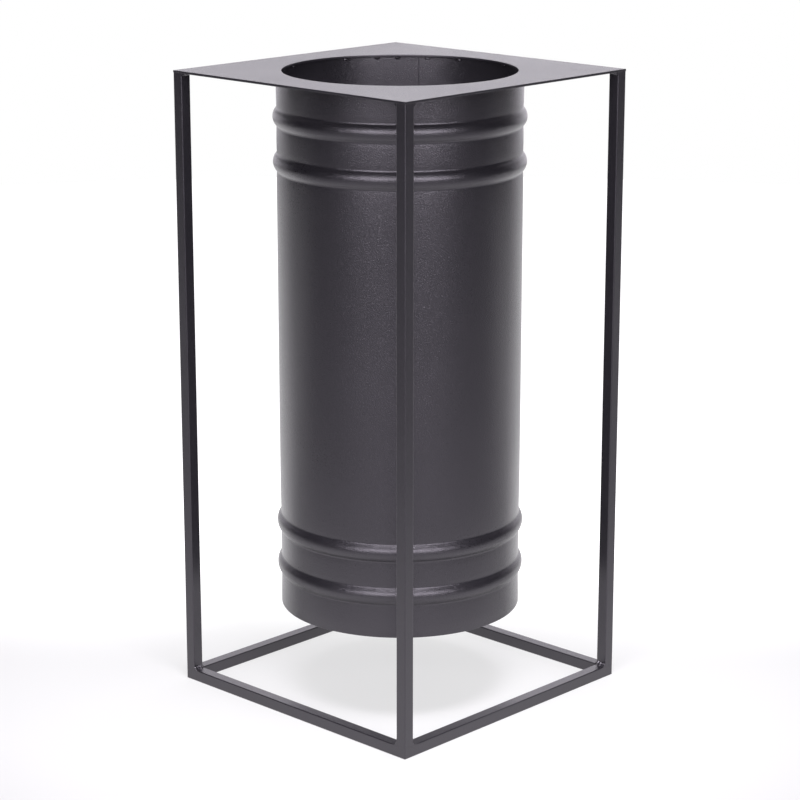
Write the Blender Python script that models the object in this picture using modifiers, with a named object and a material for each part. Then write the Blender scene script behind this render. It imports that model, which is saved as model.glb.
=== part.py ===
"""Umbrella stand: a steel cylinder hung from a square top plate on a frame of thin square tube.

The stand is +Z up, with its origin on the floor at the middle of the base, in metres. Its four
posts stand on a mitred ring of base rails, the plate lies on the posts, and the cylinder hangs
from the underside of the plate around the plate's round hole. Everything is welded.
"""

import math

import bmesh
import bpy
from mathutils import Matrix

# The frame and the top plate
STAND_WIDTH = 0.270
STAND_HEIGHT = 0.545
TUBE_SIDE = 0.010
TUBE_WALL = 0.001
TUBE_CORNER_RADIUS = 0.00125
PLATE_THICKNESS = 0.002
HOLE_RADIUS = 0.100

# The cylinder that holds the umbrellas
CYLINDER_RADIUS = 0.105
CYLINDER_LENGTH = 0.468
SHEET = 0.001
BEAD_HEIGHT = 0.003
BEAD_CROWN_RADIUS = 0.0075
BEAD_FOOT_RADIUS = 0.004
BEAD_FROM_END = 0.0365
BEAD_PITCH = 0.0385
BASE_RISE = 0.012
BASE_BEND_RADIUS = 0.002

# Welds
TACK_RADIUS = 0.0012
TACK_LENGTH = 0.0050
TACK_ANGLES = (12, 47, 74, 104, 120, 135, 145, 161, 196, 233, 271, 318)
FILLET_RADIUS = 0.0012

# Gap that stands for a face that touches another
GAP = 0.0003

# Facets on round pieces
ROUND_STEPS = 64

PLATE_UNDERSIDE = STAND_HEIGHT - PLATE_THICKNESS
CORNER_CENTRE = STAND_WIDTH / 2 - TUBE_SIDE / 2
CYLINDER_BOTTOM = PLATE_UNDERSIDE - CYLINDER_LENGTH

# Corners as a person in front of the nearest post names them, with the signs of x and y
CORNERS = {
    "front": (1, -1),
    "right": (1, 1),
    "back": (-1, 1),
    "left": (-1, -1),
}


def clear_scene():
    for old in list(bpy.data.objects):
        bpy.data.objects.remove(old, do_unlink=True)


def new_collection(name):
    collection = bpy.data.collections.new(name)
    bpy.context.scene.collection.children.link(collection)
    return collection


def coat(name, colour, roughness):
    """A powder coat on steel: a dark satin plastic film."""
    material = bpy.data.materials.new(name)
    material.use_nodes = True
    shader = material.node_tree.nodes["Principled BSDF"]
    shader.inputs["Base Color"].default_value = (*colour, 1.0)
    shader.inputs["Roughness"].default_value = roughness
    shader.inputs["Metallic"].default_value = 0.0
    material.diffuse_color = (*colour, 1.0)
    return material


def add_object(name, data, collection, material=None):
    piece = bpy.data.objects.new(name, data)
    collection.objects.link(piece)
    if material is not None:
        data.materials.append(material)
    return piece


def box_mesh(name, size):
    mesh = bpy.data.meshes.new(name)
    bm = bmesh.new()
    bmesh.ops.create_cube(bm, size=1.0)
    bmesh.ops.scale(bm, vec=size, verts=bm.verts)
    bm.to_mesh(mesh)
    bm.free()
    return mesh


def square_tube(name, length, end_slant, collection, material):
    """A hollow square tube centred along X, with rounded long edges and open ends.

    Its -Y face has the full length. Each end lies on a plane that shortens the tube by
    end_slant for each metre across it: 0 for a square end and 1 for a mitre.
    """
    bm = bmesh.new()
    bmesh.ops.create_cube(bm, size=TUBE_SIDE)
    ends = [face for face in bm.faces if abs(face.normal.x) > 0.5]
    bmesh.ops.delete(bm, geom=ends, context="FACES_ONLY")
    long_edges = [edge for edge in bm.edges if not edge.is_boundary]
    bmesh.ops.bevel(bm, geom=long_edges, offset=TUBE_CORNER_RADIUS, offset_type="OFFSET",
                    segments=2, profile=0.5, affect="EDGES")
    bmesh.ops.solidify(bm, geom=list(bm.faces), thickness=TUBE_WALL)
    for vert in bm.verts:
        half = length / 2 - end_slant * (vert.co.y + TUBE_SIDE / 2)
        vert.co.x = math.copysign(half, vert.co.x)
    mesh = bpy.data.meshes.new(name)
    bm.to_mesh(mesh)
    bm.free()
    return add_object(name, mesh, collection, material)


def turned_shell(name, profile, thickness, collection, material):
    """A sheet turned about Z from a profile of (radius, height) that runs from top to bottom."""
    mesh = bpy.data.meshes.new(name)
    points = [(radius, 0.0, height) for radius, height in profile]
    edges = [(i, i + 1) for i in range(len(points) - 1)]
    mesh.from_pydata(points, edges, [])
    shell = add_object(name, mesh, collection, material)
    screw = shell.modifiers.new("turned", "SCREW")
    screw.axis = "Z"
    screw.angle = 2.0 * math.pi
    screw.steps = ROUND_STEPS
    screw.render_steps = ROUND_STEPS
    screw.use_merge_vertices = True
    screw.merge_threshold = 0.00001
    screw.use_smooth_shade = True
    wall = shell.modifiers.new("sheet", "SOLIDIFY")
    wall.thickness = thickness
    wall.offset = -1.0
    wall.use_even_offset = True
    return shell


def bead_profile(crest_height):
    """A rolled bead's outline: a round crown between two round feet, tangent to the wall."""
    reach = BEAD_CROWN_RADIUS + BEAD_FOOT_RADIUS
    flank = math.acos(1.0 - BEAD_HEIGHT / reach)
    half_width = reach * math.sin(flank)
    turn_out = BEAD_CROWN_RADIUS * math.sin(flank)
    flank_radius = CYLINDER_RADIUS + BEAD_FOOT_RADIUS * (1.0 - math.cos(flank))
    return [
        (CYLINDER_RADIUS, crest_height + half_width),
        (flank_radius, crest_height + turn_out),
        (CYLINDER_RADIUS + BEAD_HEIGHT, crest_height),
        (flank_radius, crest_height - turn_out),
        (CYLINDER_RADIUS, crest_height - half_width),
    ]


def bead_heights():
    """The crests from the top down: two below the plate and two above the lower rim."""
    top = PLATE_UNDERSIDE - BEAD_FROM_END
    bottom = CYLINDER_BOTTOM + BEAD_FROM_END
    return [top, top - BEAD_PITCH, bottom + BEAD_PITCH, bottom]


def make_top_plate(parts, cutters, material):
    """A laser-cut square of sheet with a round hole in its middle."""
    size = (STAND_WIDTH, STAND_WIDTH, PLATE_THICKNESS)
    plate = add_object("top_plate", box_mesh("top_plate", size), parts, material)
    plate.location.z = STAND_HEIGHT - PLATE_THICKNESS / 2
    mesh = bpy.data.meshes.new("plate_hole")
    bm = bmesh.new()
    bmesh.ops.create_cone(bm, cap_ends=True, segments=ROUND_STEPS, radius1=HOLE_RADIUS,
                          radius2=HOLE_RADIUS, depth=4.0 * PLATE_THICKNESS)
    bm.to_mesh(mesh)
    bm.free()
    hole = add_object("plate_hole", mesh, cutters)
    hole.location = plate.location
    hole.hide_render = True
    hole.display_type = "WIRE"
    cut = plate.modifiers.new("hole", "BOOLEAN")
    cut.operation = "DIFFERENCE"
    cut.solver = "EXACT"
    cut.object = hole


def make_posts(parts, material):
    """Four posts between the base ring and the plate, one on each corner."""
    bottom = TUBE_SIDE + GAP
    top = PLATE_UNDERSIDE - GAP
    upright = Matrix.Rotation(math.pi / 2, 4, "Y")
    for corner, (x_sign, y_sign) in CORNERS.items():
        post = square_tube("post_" + corner, top - bottom, 0.0, parts, material)
        centre = (x_sign * CORNER_CENTRE, y_sign * CORNER_CENTRE, (top + bottom) / 2)
        post.matrix_world = Matrix.Translation(centre) @ upright


def make_base_rails(parts, material):
    """A ring of four rails on the floor, mitred at the corners."""
    names = ("base_rail_front_left", "base_rail_front_right",
             "base_rail_back_right", "base_rail_back_left")
    place = Matrix.Translation((0.0, -CORNER_CENTRE, TUBE_SIDE / 2))
    for quarter, name in enumerate(names):
        rail = square_tube(name, STAND_WIDTH - 2.0 * GAP, 1.0, parts, material)
        rail.matrix_world = Matrix.Rotation(quarter * math.pi / 2, 4, "Z") @ place


def make_cylinder(parts, material):
    """A rolled sheet with two raised beads near each end, open at the top."""
    profile = [(CYLINDER_RADIUS, PLATE_UNDERSIDE - GAP)]
    for height in bead_heights():
        profile.extend(bead_profile(height))
    profile.append((CYLINDER_RADIUS, CYLINDER_BOTTOM))
    turned_shell("cylinder_shell", profile, SHEET, parts, material)


def make_cylinder_base(parts, material):
    """A pressed disc with a turned-down edge, pushed into the lower end of the cylinder."""
    radius = CYLINDER_RADIUS - SHEET - GAP
    top = CYLINDER_BOTTOM + BASE_RISE
    bend = BASE_BEND_RADIUS
    profile = [
        (0.0, top),
        (radius - bend, top),
        (radius - bend * (1.0 - math.sin(math.pi / 4)), top - bend * (1.0 - math.cos(math.pi / 4))),
        (radius, top - bend),
        (radius, CYLINDER_BOTTOM + GAP),
    ]
    turned_shell("cylinder_base", profile, SHEET, parts, material)


def make_rim_tacks(parts, material):
    """Tack welds inside the cylinder, in the corner between its wall and the plate.

    Each is a short oval bead, a ball stretched along the wall.
    """
    from_wall = TACK_RADIUS + GAP
    circle = CYLINDER_RADIUS - SHEET - from_wall
    for number, angle in enumerate(TACK_ANGLES, start=1):
        name = "rim_tack_%02d" % number
        mesh = bpy.data.meshes.new(name)
        bm = bmesh.new()
        bmesh.ops.create_uvsphere(bm, u_segments=8, v_segments=6, radius=TACK_RADIUS)
        stretch = TACK_LENGTH / (2.0 * TACK_RADIUS)
        bmesh.ops.scale(bm, vec=(stretch, 1.0, 1.0), verts=bm.verts)
        bm.to_mesh(mesh)
        bm.free()
        mesh.shade_smooth()
        tack = add_object(name, mesh, parts, material)
        around = math.radians(angle)
        tack.location = (circle * math.cos(around), circle * math.sin(around),
                         PLATE_UNDERSIDE - from_wall)
        tack.rotation_euler.z = around + math.pi / 2.0


def make_fillet_weld(name, start, end, parts, material):
    """A short straight bead of weld metal from start to end."""
    curve = bpy.data.curves.new(name, "CURVE")
    curve.dimensions = "3D"
    spline = curve.splines.new("POLY")
    spline.points.add(1)
    spline.points[0].co = (*start, 1.0)
    spline.points[1].co = (*end, 1.0)
    curve.bevel_depth = FILLET_RADIUS
    curve.bevel_resolution = 1
    curve.use_fill_caps = True
    add_object(name, curve, parts, material)


def make_frame_welds(parts, material):
    """Fillet welds on the two inner faces of each post, at the base ring and under the plate."""
    clear = FILLET_RADIUS + GAP
    inner = STAND_WIDTH / 2 - TUBE_SIDE
    near = inner + FILLET_RADIUS
    far = STAND_WIDTH / 2 - FILLET_RADIUS
    levels = {"base_weld_": TUBE_SIDE + clear, "plate_weld_": PLATE_UNDERSIDE - clear}
    for corner, (x_sign, y_sign) in CORNERS.items():
        for prefix, height in levels.items():
            across = inner - clear
            make_fillet_weld(prefix + corner + "_x",
                             (x_sign * across, y_sign * near, height),
                             (x_sign * across, y_sign * far, height), parts, material)
            make_fillet_weld(prefix + corner + "_y",
                             (x_sign * near, y_sign * across, height),
                             (x_sign * far, y_sign * across, height), parts, material)


def main():
    clear_scene()
    parts = new_collection("umbrella_stand")
    cutters = new_collection("cutters")
    plate_coat = coat("plate_coat", (0.040, 0.038, 0.043), 0.45)
    frame_coat = coat("frame_coat", (0.040, 0.038, 0.043), 0.50)
    cylinder_coat = coat("cylinder_coat", (0.040, 0.038, 0.043), 0.45)
    weld_coat = coat("weld_coat", (0.036, 0.034, 0.039), 0.50)
    make_top_plate(parts, cutters, plate_coat)
    make_posts(parts, frame_coat)
    make_base_rails(parts, frame_coat)
    make_cylinder(parts, cylinder_coat)
    make_cylinder_base(parts, cylinder_coat)
    make_rim_tacks(parts, weld_coat)
    make_frame_welds(parts, weld_coat)


main()
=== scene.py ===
import math

import bmesh
import bpy
import numpy as np
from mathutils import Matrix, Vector


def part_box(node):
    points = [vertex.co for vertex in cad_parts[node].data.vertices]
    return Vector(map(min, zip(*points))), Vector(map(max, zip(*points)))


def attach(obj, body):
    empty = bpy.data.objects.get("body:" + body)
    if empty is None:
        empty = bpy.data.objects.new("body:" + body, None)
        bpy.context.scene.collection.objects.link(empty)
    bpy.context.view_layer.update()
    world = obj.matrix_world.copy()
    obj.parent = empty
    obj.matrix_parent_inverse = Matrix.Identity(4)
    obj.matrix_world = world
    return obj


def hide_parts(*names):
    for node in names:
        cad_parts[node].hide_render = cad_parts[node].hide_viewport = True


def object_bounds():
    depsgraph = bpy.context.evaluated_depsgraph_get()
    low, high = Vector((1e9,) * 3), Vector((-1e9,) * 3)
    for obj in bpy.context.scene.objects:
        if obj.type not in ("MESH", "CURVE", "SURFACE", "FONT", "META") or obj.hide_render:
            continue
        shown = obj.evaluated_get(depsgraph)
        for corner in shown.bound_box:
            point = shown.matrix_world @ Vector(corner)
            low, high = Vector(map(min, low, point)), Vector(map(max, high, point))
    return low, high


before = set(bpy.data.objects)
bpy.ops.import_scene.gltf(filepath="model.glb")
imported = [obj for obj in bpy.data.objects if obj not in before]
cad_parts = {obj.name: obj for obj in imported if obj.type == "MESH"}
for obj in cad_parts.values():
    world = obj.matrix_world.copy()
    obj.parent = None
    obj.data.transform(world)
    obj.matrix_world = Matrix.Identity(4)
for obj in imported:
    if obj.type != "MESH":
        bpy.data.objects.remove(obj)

cad_low, cad_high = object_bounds()

# ------------------------------------------------------------------------------------------
# Base ring. Four lengths of thin square steel tube, mitred and welded into a square on the
# floor. The outer faces are ground flush at the corners, so the rounded upper edge dies out
# where a post stands. The whole stand is powder coated after welding.
# ------------------------------------------------------------------------------------------
STAND_HALF = cad_high.x
TUBE_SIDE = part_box("base_rail_front_left")[1].z
EDGE_RADIUS = 0.0008
GROUND_RADIUS = 0.00008
GROUND_REACH = 0.0115
GROUND_FADE = 0.007
FLAT_HOLD = 0.0003
CHARCOAL_DEEP = (0.0105, 0.0098, 0.0120, 1.0)
CHARCOAL_PALE = (0.0200, 0.0187, 0.0226, 1.0)
COAT_INDEX = 1.72
COAT_TINT = (0.965, 0.915, 1.0, 1.0)
SPECKLE_SCALE = 1300.0
PEEL_SCALE = 430.0
DRIFT_SCALE = 11.0
SPECKLE_IN_COLOUR = 1.4
DRIFT_IN_COLOUR = 0.5
SPECKLE_IN_GLOSS = 0.10
DRIFT_IN_GLOSS = 0.08
SPECKLE_IN_HEIGHT = 0.75


class Socket:
    """One output of a shader node. Arithmetic adds a Math node, and node() adds any other."""

    def __init__(self, tree, socket=None):
        self.tree = tree
        self.socket = socket

    def node(self, kind, settings, inputs, output=0):
        """Adds a node: first its settings, then a value or a link for each input it names."""
        made = self.tree.nodes.new(kind)
        for key, value in settings.items():
            setattr(made, key, value)
        for key, value in inputs.items():
            if isinstance(value, Socket):
                self.tree.links.new(value.socket, made.inputs[key])
            else:
                made.inputs[key].default_value = value
        return Socket(self.tree, made.outputs[output])

    def math(self, operation, first, second):
        return self.node("ShaderNodeMath", {"operation": operation}, {0: first, 1: second})

    def __add__(self, other):
        return self.math("ADD", self, other)

    def __radd__(self, other):
        return self.math("ADD", other, self)

    def __sub__(self, other):
        return self.math("SUBTRACT", self, other)

    def __rsub__(self, other):
        return self.math("SUBTRACT", other, self)

    def __mul__(self, other):
        return self.math("MULTIPLY", self, other)

    def __rmul__(self, other):
        return self.math("MULTIPLY", other, self)


def powder_coat(name, roughness, peel_depth):
    """Charcoal powder coat: a satin film with a fine speckle and a shallow orange peel.

    Speckle is noise a little under a millimetre across, peel a little over two, and drift a
    hand's width, where the film is thicker or thinner. All three are taken about their
    middle value, one half.
    """
    material = bpy.data.materials.new(name)
    material.use_nodes = True
    tree = material.node_tree
    shader = tree.nodes["Principled BSDF"]
    place = Socket(tree).node("ShaderNodeTexCoord", {}, {}, output="Object")
    speckle = place.node("ShaderNodeTexNoise", {}, {"Vector": place, "Scale": SPECKLE_SCALE,
                                                    "Detail": 1.0, "Roughness": 0.5})
    peel = place.node("ShaderNodeTexNoise", {}, {"Vector": place, "Scale": PEEL_SCALE,
                                                 "Detail": 1.5, "Roughness": 0.5})
    drift = place.node("ShaderNodeTexNoise", {}, {"Vector": place, "Scale": DRIFT_SCALE,
                                                  "Detail": 2.0, "Roughness": 0.5})
    mottle = (speckle - 0.5) * SPECKLE_IN_COLOUR + (drift - 0.5) * DRIFT_IN_COLOUR + 0.5
    colour = place.node("ShaderNodeMix", {"data_type": "RGBA"},
                        {"Factor": mottle, 6: CHARCOAL_DEEP, 7: CHARCOAL_PALE}, output=2)
    satin = roughness + (speckle - 0.5) * SPECKLE_IN_GLOSS + (drift - 0.5) * DRIFT_IN_GLOSS
    height = speckle * SPECKLE_IN_HEIGHT + peel * (1.0 - SPECKLE_IN_HEIGHT)
    bump = place.node("ShaderNodeBump", {}, {"Height": height, "Distance": peel_depth,
                                             "Strength": 1.0})
    shader.inputs["IOR"].default_value = COAT_INDEX
    shader.inputs["Specular Tint"].default_value = COAT_TINT
    tree.links.new(colour.socket, shader.inputs["Base Color"])
    tree.links.new(satin.socket, shader.inputs["Roughness"])
    tree.links.new(bump.socket, shader.inputs["Normal"])
    return material


def skin(name, grid, across_closed=True, along_closed=False, capped=False, sharp=40.0):
    """A mesh on a grid of points: rows go along the piece and columns go round it.

    Each four neighbours make a face. Rows or columns that close join their last line to
    their first, caps are flat faces on the first and last rows, points that fall together
    are merged, and a mesh whose volume comes out negative has its faces turned round.
    """
    rows, columns = grid.shape[:2]
    number = np.arange(rows * columns).reshape(rows, columns)
    if across_closed:
        number = np.hstack([number, number[:, :1]])
    if along_closed:
        number = np.vstack([number, number[:1]])
    quads = np.stack([number[:-1, :-1], number[:-1, 1:], number[1:, 1:], number[1:, :-1]], axis=-1)
    faces = quads.reshape(-1, 4).tolist()
    if capped:
        faces.append(number[0, :columns][::-1].tolist())
        faces.append(number[-1, :columns].tolist())
    bm = bmesh.new()
    mesh = bpy.data.meshes.new(name)
    mesh.from_pydata(grid.reshape(-1, 3).tolist(), [], faces)
    bm.from_mesh(mesh)
    bmesh.ops.remove_doubles(bm, verts=bm.verts, dist=0.000001)
    if bm.calc_volume(signed=True) < 0.0:
        bmesh.ops.reverse_faces(bm, faces=bm.faces)
    bm.to_mesh(mesh)
    bm.free()
    mesh.shade_smooth()
    mesh.set_sharp_from_angle(angle=math.radians(sharp))
    return mesh


def stand_for(node, name, mesh, material):
    """Adds a finished mesh as the piece that stands for a node, on the stand's one body."""
    piece = bpy.data.objects.new(name, mesh)
    bpy.context.scene.collection.objects.link(piece)
    mesh.materials.append(material)
    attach(piece, "root")
    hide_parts(node)
    return piece


def smooth_step(value, start, end):
    """0 before start, 1 after end, and a cubic ease 3t^2 - 2t^3 in between."""
    share = np.clip((value - start) / (end - start), 0.0, 1.0)
    return share * share * (3.0 - 2.0 * share)


def square_section(side, radii, arc_steps=5):
    """A square's outline with a quarter circle at each corner, one radius per row and corner.

    The corners follow (0, 0), (side, 0), (side, side), (0, side). A corner's points are its
    circle's centre, one radius inside both faces, plus radius times (cos, sin) of the angle.
    One more point lies FLAT_HOLD beyond each end of the arc, along (-sin, cos), so that the
    faces between the corners shade flat.
    """
    outline = []
    for corner, radius in enumerate(radii):
        right = corner in (1, 2)
        upper = corner in (2, 3)
        angle = np.radians(180.0 + 90.0 * corner + np.linspace(0.0, 90.0, arc_steps + 1))
        angle = np.concatenate([angle[:1], angle, angle[-1:]])
        along = np.zeros_like(angle)
        along[0] = -FLAT_HOLD
        along[-1] = FLAT_HOLD
        centre_a = side - radius if right else radius
        centre_b = side - radius if upper else radius
        first = centre_a[:, None] + radius[:, None] * np.cos(angle) - along * np.sin(angle)
        second = centre_b[:, None] + radius[:, None] * np.sin(angle) + along * np.cos(angle)
        outline.append(np.stack([first, second], axis=-1))
    return np.concatenate(outline, axis=1)


def turned_quarter(points, quarter):
    """Points turned about the stand's axis by a number of quarter turns, exactly."""
    for _ in range(quarter):
        points = np.stack([-points[..., 1], points[..., 0], points[..., 2]], axis=-1)
    return points


def rail_points():
    """The rail on the -Y side: the section's depth behind the outer face and its height.

    Row t runs from -1 to 1, and x is t times the half length at that depth, which is what
    mitres the ends. Past the corner circle's centre a point is pulled in to the circle.
    """
    from_end = np.concatenate([np.linspace(0.0, 0.0015, 7), np.linspace(0.003, 0.030, 28),
                               np.linspace(0.045, 0.120, 6)])
    half = STAND_HALF - from_end
    along = np.concatenate([-half, half[::-1]]) / STAND_HALF
    end_distance = STAND_HALF * (1.0 - np.abs(along))
    free = smooth_step(end_distance, GROUND_REACH, GROUND_REACH + GROUND_FADE)
    upper_outer = GROUND_RADIUS + (EDGE_RADIUS - GROUND_RADIUS) * free
    even = np.full_like(along, EDGE_RADIUS)
    section = square_section(TUBE_SIDE, [even, even, even, upper_outer])
    depth = section[..., 0]
    x = along[:, None] * (STAND_HALF - depth)
    y = -(STAND_HALF - depth)
    centre = STAND_HALF - EDGE_RADIUS
    past_x = np.maximum(np.abs(x) - centre, 0.0)
    past_y = np.maximum(np.abs(y) - centre, 0.0)
    pull = np.minimum(1.0, EDGE_RADIUS / np.maximum(np.hypot(past_x, past_y), 1e-9))
    x = np.where(past_x > 0.0, np.sign(x) * (centre + past_x * pull), x)
    y = np.where(past_y > 0.0, np.sign(y) * (centre + past_y * pull), y)
    return np.stack([x, y, section[..., 1]], axis=-1)


frame_coat = powder_coat("frame_coat", 0.32, 0.00010)
rails = ("base_rail_front_left", "base_rail_front_right",
         "base_rail_back_right", "base_rail_back_left")
for quarter, node in enumerate(rails):
    mesh = skin(node + "_tube", turned_quarter(rail_points(), quarter), capped=True)
    stand_for(node, node + "_tube", mesh, frame_coat)

# ------------------------------------------------------------------------------------------
# Posts. The same square tube, cut square, one on each corner of the ring. Their outer faces
# are ground flush with the ring, so the long edges that meet it are sharp at the foot. The
# edge on the stand's own corner stays round all the way.
# ------------------------------------------------------------------------------------------
PLATE_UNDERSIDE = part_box("top_plate")[0].z
CORNERS = {"front": 0, "right": 1, "back": 2, "left": 3}


def post_points():
    """The post at +X -Y: a square section carried straight up, round at the outer corner."""
    above = np.concatenate([np.linspace(0.0, 0.012, 13), np.linspace(0.020, 0.500, 13)])
    height = np.append(TUBE_SIDE + above, PLATE_UNDERSIDE)
    free = smooth_step(height - TUBE_SIDE, 0.001, 0.001 + GROUND_FADE)
    ground = GROUND_RADIUS + (EDGE_RADIUS - GROUND_RADIUS) * free
    even = np.full_like(height, EDGE_RADIUS)
    section = square_section(TUBE_SIDE, [ground, even, ground, even])
    x = STAND_HALF - TUBE_SIDE + section[..., 0]
    y = -STAND_HALF + section[..., 1]
    z = np.broadcast_to(height[:, None], x.shape)
    return np.stack([x, y, z], axis=-1)


for corner, quarter in CORNERS.items():
    node = "post_" + corner
    mesh = skin(node + "_tube", turned_quarter(post_points(), quarter), capped=True)
    stand_for(node, node + "_tube", mesh, frame_coat)

# ------------------------------------------------------------------------------------------
# Top plate. A square of steel sheet with a round mouth, laser cut, its edges just broken.
# It lies on the posts, flush with their outer faces, and its corners stay sharp.
# ------------------------------------------------------------------------------------------
PLATE_TOP = cad_high.z
MOUTH_RADIUS = 0.100
BROKEN_EDGE = 0.00015


def plate_points():
    """Rays from the mouth's circle out to the square, with the edge profile at both ends.

    Along a quarter bend of angle b an edge point lies edge * (1 - sin b) inside the cut face
    and edge * (1 - cos b) from the flat, with one more point a little way into the flat. A
    ray meets the square at half over the larger of |cos| and |sin| of its own angle.
    """
    turn = np.linspace(0.0, 2.0 * np.pi, 256, endpoint=False)
    ray = np.stack([np.cos(turn), np.sin(turn)], axis=-1)
    to_square = ray / np.abs(ray).max(axis=1, keepdims=True)
    bend = np.radians(np.linspace(0.0, 90.0, 4))
    inside = BROKEN_EDGE * (1.0 - np.sin(bend))
    rise = BROKEN_EDGE * (1.0 - np.cos(bend))
    hold = BROKEN_EDGE + FLAT_HOLD
    inside = np.concatenate([[hold], inside, inside[::-1], [hold]])
    height = np.concatenate([[PLATE_UNDERSIDE], PLATE_UNDERSIDE + rise,
                             PLATE_TOP - rise[::-1], [PLATE_TOP]])
    mouth = ray[:, None, :] * (MOUTH_RADIUS + inside)[None, :, None]
    outer = to_square[:, None, :] * (STAND_HALF - inside[::-1])[None, :, None]
    flat = np.concatenate([mouth, outer], axis=1)
    level = np.broadcast_to(np.concatenate([height, height[::-1]]), flat.shape[:2])
    return np.concatenate([flat, level[..., None]], axis=-1)


plate_coat = powder_coat("plate_coat", 0.33, 0.00022)
plate = skin("top_plate_sheet", plate_points(), along_closed=True, sharp=50.0)
stand_for("top_plate", "top_plate_sheet", plate, plate_coat)

# ------------------------------------------------------------------------------------------
# Cylinder. A steel sheet rolled round and closed by one lap-welded seam at the back, with
# two round beads rolled outwards near each end to stiffen it. The sheet draws in a little
# beside each bead. It hangs from the underside of the plate, around the mouth.
# ------------------------------------------------------------------------------------------
SHEET = 0.001
BEAD_HEIGHT = 0.003
BEAD_CROWN = 0.0096
BEAD_FOOT = 0.003
BEAD_FROM_END = 0.0365
BEAD_PITCH = 0.0385
NECK_DEPTH = 0.0004
NECK_LENGTH = 0.007
NECK_ROWS_END = 1.40
SEAM_ANGLE = math.radians(124.5)
SEAM_STEP = 0.0008
SEAM_WIDTH = 0.00012
SEAM_FADE = 0.014
CYLINDER_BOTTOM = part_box("cylinder_shell")[0].z
CYLINDER_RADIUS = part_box("cylinder_shell")[1].x - BEAD_HEIGHT
CYLINDER_TOP = PLATE_UNDERSIDE
FLANK = math.acos(1.0 - (BEAD_HEIGHT + NECK_DEPTH) / (BEAD_CROWN + BEAD_FOOT))
BEAD_HALF = (BEAD_CROWN + BEAD_FOOT) * math.sin(FLANK)
BEADS = (CYLINDER_TOP - BEAD_FROM_END, CYLINDER_TOP - BEAD_FROM_END - BEAD_PITCH,
         CYLINDER_BOTTOM + BEAD_FROM_END + BEAD_PITCH, CYLINDER_BOTTOM + BEAD_FROM_END)


def wall_radius(height):
    """The outer radius at a height: the plain wall, plus the beads, less their necks.

    Across a bead the crown is a circle standing BEAD_HEIGHT proud of the wall, and the feet
    are circles that end upright where the neck is deepest. The neck's depth at a distance d
    beyond the bead is NECK_DEPTH * exp(-d / NECK_LENGTH).
    """
    lift = np.zeros_like(height)
    for crest in BEADS:
        away = np.abs(height - crest)
        crown = BEAD_HEIGHT - BEAD_CROWN + np.sqrt(np.maximum(BEAD_CROWN ** 2 - away ** 2, 0.0))
        into = np.clip(BEAD_HALF - away, 0.0, BEAD_FOOT)
        foot = BEAD_FOOT - np.sqrt(np.maximum(BEAD_FOOT ** 2 - into ** 2, 0.0))
        on_crown = away < BEAD_CROWN * math.sin(FLANK)
        beyond = np.maximum(away - BEAD_HALF, 0.0) / NECK_LENGTH
        neck = NECK_DEPTH * np.exp(-beyond)
        lift = lift + np.where(on_crown, crown, foot - neck)
    return CYLINDER_RADIUS + lift


def wall_profile():
    """The sheet's closed outline: down the outside, round the sheared rim, up the inside.

    Rows lie at even angles on each bead's crown and feet, then a few in the necks and even
    ones between. The inside is the outside moved one sheet thickness along its own normal.
    """
    crown = BEAD_CROWN * np.sin(np.linspace(-FLANK, FLANK, 17))
    foot = BEAD_HALF - BEAD_FOOT * np.sin(np.linspace(0.0, FLANK, 6)[:-1])
    neck = BEAD_HALF * np.linspace(1.04, NECK_ROWS_END, 6)
    beside = np.concatenate([crown, foot, -foot, neck, -neck])
    spans = [crest + beside for crest in BEADS]
    plain = np.linspace(CYLINDER_BOTTOM + SHEET / 2, CYLINDER_TOP, 40)
    from_bead = np.abs(plain[:, None] - np.array(BEADS)[None, :]).min(axis=1)
    clear = from_bead >= (NECK_ROWS_END + 0.05) * BEAD_HALF
    height = np.sort(np.concatenate(spans + [plain[clear]]))[::-1]
    radius = wall_radius(height)
    slope = np.gradient(radius, height)
    scale = SHEET / np.sqrt(1.0 + slope ** 2)
    inner_radius = radius - scale
    inner_height = height + slope * scale
    inner_height[0] = CYLINDER_TOP
    inner_height[-1] = height[-1]
    half = np.radians(np.linspace(0.0, 180.0, 7)[1:-1])
    rim_radius = radius[-1] - SHEET / 2 + SHEET / 2 * np.cos(half)
    rim_height = height[-1] - SHEET / 2 * np.sin(half)
    return (np.concatenate([radius, rim_radius, inner_radius[::-1]]),
            np.concatenate([height, rim_height, inner_height[::-1]]))


def turned(radius, height, turn, lift=0.0):
    """An outline carried round the stand's axis, with a lift of its radius at each turn."""
    lift = np.broadcast_to(lift, turn.shape)
    out = radius[None, :] + lift[:, None]
    x = out * np.cos(turn)[:, None]
    y = out * np.sin(turn)[:, None]
    return np.stack([x, y, np.broadcast_to(height, out.shape)], axis=-1)


def cylinder_points():
    """The outline carried round, with the lapped seam as a step that fades on one side.

    At a distance p past the seam the wall is lower by SEAM_STEP / (1 + exp(2 p / width)),
    times exp(p / fade) where p is negative.
    """
    fine = SEAM_WIDTH * np.array([-8.0, -4.0, -2.0, -1.0, 0.0, 1.0, 2.0, 4.0, 8.0, 16.0])
    turn = np.linspace(0.02, 2.0 * np.pi - 0.02, 215) + SEAM_ANGLE
    turn = np.concatenate([SEAM_ANGLE + fine / CYLINDER_RADIUS, turn])
    past = ((turn - SEAM_ANGLE + np.pi) % (2.0 * np.pi) - np.pi) * CYLINDER_RADIUS
    step = 1.0 / (1.0 + np.exp(np.clip(past / SEAM_WIDTH * 2.0, -40.0, 40.0)))
    lift = -SEAM_STEP * step * np.exp(np.minimum(past, 0.0) / SEAM_FADE)
    radius, height = wall_profile()
    return turned(radius, height, turn, lift)


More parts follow.
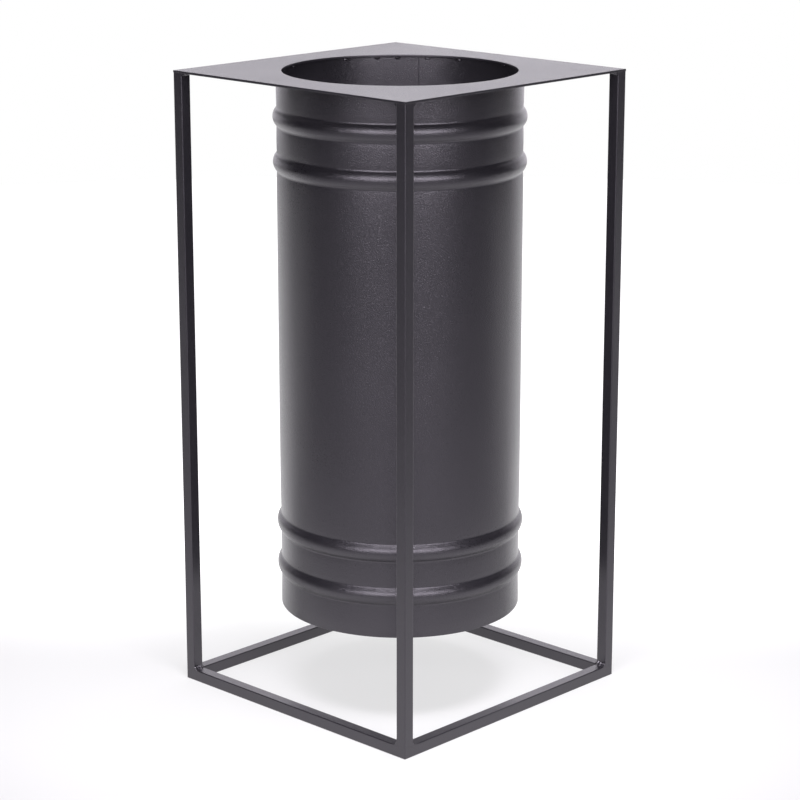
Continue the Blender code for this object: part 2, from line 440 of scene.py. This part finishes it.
cylinder_coat = powder_coat("cylinder_coat", 0.30, 0.00026)
cylinder = skin("cylinder_shell_sheet", cylinder_points(), along_closed=True, sharp=50.0)
stand_for("cylinder_shell", "cylinder_shell_sheet", cylinder, cylinder_coat)

# ------------------------------------------------------------------------------------------
# Cylinder base. A pressed disc of the same sheet with a turned-down edge, pushed up into the
# lower end of the cylinder and spot welded there. Umbrellas stand on it and drip onto it.
# ------------------------------------------------------------------------------------------
BASE_BEND = 0.002
BASE_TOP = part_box("cylinder_base")[1].z
BASE_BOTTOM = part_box("cylinder_base")[0].z
BASE_RADIUS = CYLINDER_RADIUS - SHEET


def base_profile():
    """From the axis across the disc, round the bend and down the edge, then back inside."""
    bend = np.radians(np.linspace(90.0, 0.0, 7))
    across = np.linspace(0.0, BASE_RADIUS - BASE_BEND - FLAT_HOLD, 7)
    level = np.full_like(across, BASE_TOP)
    radius = np.concatenate([across, BASE_RADIUS - BASE_BEND + BASE_BEND * np.cos(bend),
                             [BASE_RADIUS, BASE_RADIUS - SHEET]])
    height = np.concatenate([level, BASE_TOP - BASE_BEND + BASE_BEND * np.sin(bend),
                             [BASE_BOTTOM, BASE_BOTTOM]])
    inner_bend = BASE_BEND - SHEET
    back_radius = BASE_RADIUS - BASE_BEND + inner_bend * np.cos(bend[::-1])
    back_height = BASE_TOP - BASE_BEND + inner_bend * np.sin(bend[::-1])
    radius = np.concatenate([radius, back_radius, across[::-1]])
    height = np.concatenate([height, back_height, level - SHEET])
    return radius, height


round_turn = np.linspace(0.0, 2.0 * np.pi, 160, endpoint=False)
base = skin("cylinder_base_disc", turned(*base_profile(), round_turn),
            across_closed=False, along_closed=True)
stand_for("cylinder_base", "cylinder_base_disc", base, cylinder_coat)

# ------------------------------------------------------------------------------------------
# Welds. Short beads on the two inner faces of each post, down on the ring and up under the
# plate, and small tacks inside the mouth between the cylinder and the plate. They are left
# as welded, so each is a little uneven, and the coat lies over them.
# ------------------------------------------------------------------------------------------
WELD_LEG = 0.0027
WELD_RIPPLE = 0.0012
WELD_BITE = 0.0004
WELD_OUTSET = 0.00005
TACK_SIZE = (0.0026, 0.0012, 0.0014)
TACK_CLEAR = 0.8
TACK_HANG = 0.85
TACK_NODES = 12
weld_coat = powder_coat("weld_coat", 0.30, 0.00012)
weld_chance = np.random.default_rng(41)


def uneven(places, chance, waves=5):
    """A smooth wander about zero along a line: a sum of sines with their own random starts."""
    number = np.arange(1, waves + 1)
    start = chance.uniform(0.0, 2.0 * np.pi, waves)
    size = chance.uniform(0.4, 1.0, waves) / number
    return (size * np.sin(places[:, None] * number * 2.1 + start)).sum(axis=1)


def fillet_points(length, chance):
    """A bead in the corner of two faces: along it, out from one face, up from the other.

    Its surface lies at leg * (0.6 / (cos a + sin a) + 0.4) from the corner at angle a, which
    is between a flat fillet and a round one. Ripples and a slow wander change the leg, and
    it is a little less where the bead starts and much less where it ends.
    """
    along = np.linspace(0.0, 1.0, 30)
    angle = np.radians(np.linspace(0.0, 90.0, 11))
    ripple = 0.05 * np.sin(along * length / WELD_RIPPLE * 2.0 * np.pi)
    start = 0.10 * (1.0 - smooth_step(along, 0.0, 0.12))
    ends = 1.0 - 0.45 * smooth_step(along, 0.80, 1.0) - start
    leg = WELD_LEG * (1.0 + ripple + 0.16 * uneven(along * 3.0, chance)) * ends
    shape = 0.6 / (np.cos(angle) + np.sin(angle)) + 0.4
    out = leg[:, None] * shape * np.cos(angle)
    up = leg[:, None] * shape * np.sin(angle)
    bite = np.full((len(along), 1), -WELD_BITE)
    out = np.concatenate([out, bite], axis=1)
    up = np.concatenate([up, bite], axis=1)
    place = np.broadcast_to((along * length)[:, None], out.shape)
    return np.stack([place, out, up], axis=-1)


def corner_weld(node, x_sign, y_sign, on_x_face, at_plate):
    """Sets a bead on a post's inner X or Y face, on the ring or under the plate."""
    place, out, up = np.moveaxis(fillet_points(TUBE_SIDE * 0.97, weld_chance), -1, 0)
    inner = STAND_HALF - TUBE_SIDE - out
    outer = STAND_HALF - WELD_OUTSET - place
    z = PLATE_UNDERSIDE - up if at_plate else TUBE_SIDE + up
    x, y = (inner, outer) if on_x_face else (outer, inner)
    mesh = skin(node + "_bead", np.stack([x_sign * x, y_sign * y, z], axis=-1), capped=True)
    stand_for(node, node + "_bead", mesh, weld_coat)


for corner, (x_sign, y_sign) in {"front": (1, -1), "right": (1, 1),
                                 "back": (-1, 1), "left": (-1, -1)}.items():
    for prefix, at_plate in (("base_weld_", False), ("plate_weld_", True)):
        corner_weld(prefix + corner + "_x", x_sign, y_sign, True, at_plate)
        corner_weld(prefix + corner + "_y", x_sign, y_sign, False, at_plate)


def tack_points(chance):
    """A lumpy ball: x, y, z are sin d cos a, sin d sin a, cos d times the size and a lump.

    The lump is 1 plus a wander over d and one sine each of 2 a and 3 a, all times sin d, so
    that it is the same all round at both ends.
    """
    down = np.linspace(0.0, np.pi, 15)
    around = np.linspace(0.0, 2.0 * np.pi, 24, endpoint=False)
    lump = 1.0 + 0.10 * uneven(down * 1.5, chance)[:, None] * np.sin(down)[:, None]
    lump = lump + 0.10 * np.sin(2.0 * around + chance.uniform(0.0, 6.3)) * np.sin(down)[:, None]
    lump = lump + 0.06 * np.sin(3.0 * around + chance.uniform(0.0, 6.3)) * np.sin(down)[:, None]
    x = lump * np.sin(down)[:, None] * np.cos(around)
    y = lump * np.sin(down)[:, None] * np.sin(around)
    z = lump * np.cos(down)[:, None]
    return np.stack([x, y, z], axis=-1) * np.array(TACK_SIZE)


for number in range(1, TACK_NODES + 1):
    node = "rim_tack_%02d" % number
    low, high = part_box(node)
    middle = (low + high) / 2
    angle = math.atan2(middle.y, middle.x)
    ball = tack_points(weld_chance)
    sideways = np.array([-math.sin(angle), math.cos(angle), 0.0])
    outwards = np.array([math.cos(angle), math.sin(angle), 0.0])
    upwards = np.array([0.0, 0.0, 1.0])
    centre = outwards * (CYLINDER_RADIUS - SHEET - TACK_CLEAR * TACK_SIZE[1])
    centre = centre + upwards * (PLATE_UNDERSIDE - TACK_HANG * TACK_SIZE[2])
    points = centre + ball[..., :1] * sideways + ball[..., 1:2] * outwards
    points = points + ball[..., 2:] * upwards
    mesh = skin(node + "_bead", points)
    stand_for(node, node + "_bead", mesh, weld_coat)

# ------------------------------------------------------------------------------------------
# Studio. A pale grey floor with painted light on it: it glows in a pool round the stand and
# in a sweep all the way behind it, in place of light falling there. Soft lights in front and
# high at the sides, and panels behind that edge the round wall with light. The camera looks
# at the front corner post from a little above.
# ------------------------------------------------------------------------------------------
CAMERA_AZIMUTH = 43.77
CAMERA_ELEVATION = 14.98
CAMERA_DISTANCE = 2.1967
CAMERA_LENS = 113.3
CAMERA_SENSOR = 36.0
AIM = Vector((0.0, 0.0, 0.2566))
FLOOR_RADIUS = 2.6
FLOOR_SIDES = 96
FLOOR_GREY = (0.25, 0.25, 0.25, 1.0)
# Painted light on the floor. POOL is the glow round the stand: full strength out to its first
# radius and gone by its second. SWEEP is the glow behind the stand, rising from nothing at its
# first distance back to full strength at its second.
POOL = (0.15, 0.95, 0.60)
SWEEP = (0.02, 0.45, 0.90)
LIGHT_DISTANCE = 2.6
LIGHT_TINT = (0.970, 0.940, 1.0)
LIGHTS = {
    "front_left": (-27.0, 19.0, (1.32, 1.01), 6.6),
    "front_centre": (0.0, 19.0, (1.05, 1.01), 4.6),
    "front_right": (27.0, 19.0, (1.32, 1.01), 6.9),
    "front_upper": (0.0, 46.0, (2.60, 1.20), 1.0),
    "high_left": (-48.0, 77.0, (1.40, 0.90), 11.0),
    "high_right": (48.0, 77.0, (1.40, 0.90), 17.2),
    "back_left": (-156.0, 6.0, (2.30, 0.92), 1.45),
    "back_right": (156.0, 6.0, (2.30, 0.92), 1.75),
    "back_high": (168.0, 30.0, (2.60, 1.01), 2.0),
}


def around_stand(azimuth, elevation, distance):
    """A place at an azimuth from -Y, turning towards +X, and an elevation above the level."""
    flat = math.cos(math.radians(elevation))
    turn = math.radians(azimuth)
    rise = math.sin(math.radians(elevation))
    away = Vector((math.sin(turn) * flat, -math.cos(turn) * flat, rise))
    return AIM + away * distance


def set_up(name, data, place):
    """Adds a light or a camera at a place, looking at the stand."""
    holder = bpy.data.objects.new(name, data)
    bpy.context.scene.collection.objects.link(holder)
    holder.location = place
    holder.rotation_euler = (AIM - place).to_track_quat("-Z", "Y").to_euler()
    return holder


floor_turn = np.linspace(0.0, 2.0 * np.pi, FLOOR_SIDES, endpoint=False)
floor_mesh = bpy.data.meshes.new("studio_floor")
floor_ring = np.column_stack([np.cos(floor_turn), np.sin(floor_turn), np.zeros(FLOOR_SIDES)])
floor_mesh.from_pydata((floor_ring * FLOOR_RADIUS).tolist(), [], [list(range(FLOOR_SIDES))])
floor = bpy.data.objects.new("studio_floor", floor_mesh)
bpy.context.scene.collection.objects.link(floor)

# The floor's emission is painted light: a glow pooled round the stand and swept behind it,
# standing in for light falling on the floor.
floor_paint_and_glow = bpy.data.materials.new("floor_paint_and_glow")
floor_paint_and_glow.use_nodes = True
paint = floor_paint_and_glow.node_tree.nodes["Principled BSDF"]
spot = Socket(floor_paint_and_glow.node_tree).node("ShaderNodeTexCoord", {}, {}, output="Object")
behind = around_stand(CAMERA_AZIMUTH + 180.0, 0.0, 1.0) - AIM
depth = spot.node("ShaderNodeVectorMath", {"operation": "DOT_PRODUCT"},
                  {0: spot, 1: tuple(behind)}, output="Value")
reach = spot.node("ShaderNodeVectorMath", {"operation": "LENGTH"}, {0: spot}, output="Value")
smooth = {"interpolation_type": "SMOOTHSTEP"}
sweep = spot.node("ShaderNodeMapRange", smooth,
                  {"Value": depth, 1: SWEEP[0], 2: SWEEP[1], 3: 0.0, 4: SWEEP[2]})
pool = spot.node("ShaderNodeMapRange", smooth,
                 {"Value": reach, 1: POOL[0], 2: POOL[1], 3: POOL[2], 4: 0.0})
# Painted light: the pool plus the sweep, fed to the floor's emission colour.
glow = spot.node("ShaderNodeMix", {"data_type": "RGBA", "clamp_factor": False},
                 {"Factor": sweep + pool, 6: (0.0, 0.0, 0.0, 1.0), 7: (1.0, 1.0, 1.0, 1.0)},
                 output=2)
floor_paint_and_glow.node_tree.links.new(glow.socket, paint.inputs["Emission Color"])
paint.inputs["Emission Strength"].default_value = 1.0
paint.inputs["Base Color"].default_value = FLOOR_GREY
paint.inputs["Roughness"].default_value = 0.9
floor_mesh.materials.append(floor_paint_and_glow)

surround = bpy.data.worlds.new("surround")
bpy.context.scene.world = surround
surround.use_nodes = True
sky = surround.node_tree
backdrop = sky.nodes["Background"]
sight = Socket(sky).node("ShaderNodeLightPath", {}, {}, output="Is Camera Ray")
sky.links.new(sight.socket, backdrop.inputs["Strength"])
backdrop.inputs["Color"].default_value = (1.0, 1.0, 1.0, 1.0)

for name, (azimuth, elevation, size, radiance) in LIGHTS.items():
    lamp = bpy.data.lights.new(name, "AREA")
    lamp.shape = "RECTANGLE"
    lamp.size, lamp.size_y = size
    lamp.energy = math.pi * size[0] * size[1] * radiance
    lamp.color = LIGHT_TINT
    lamp_place = around_stand(CAMERA_AZIMUTH + azimuth, elevation, LIGHT_DISTANCE)
    set_up(name, lamp, lamp_place).visible_camera = False

camera_data = bpy.data.cameras.new("camera")
camera_data.lens = CAMERA_LENS
camera_data.sensor_width = CAMERA_SENSOR
camera_place = around_stand(CAMERA_AZIMUTH, CAMERA_ELEVATION, CAMERA_DISTANCE)
bpy.context.scene.camera = set_up("camera", camera_data, camera_place)
bpy.context.scene.view_settings.view_transform = "Standard"
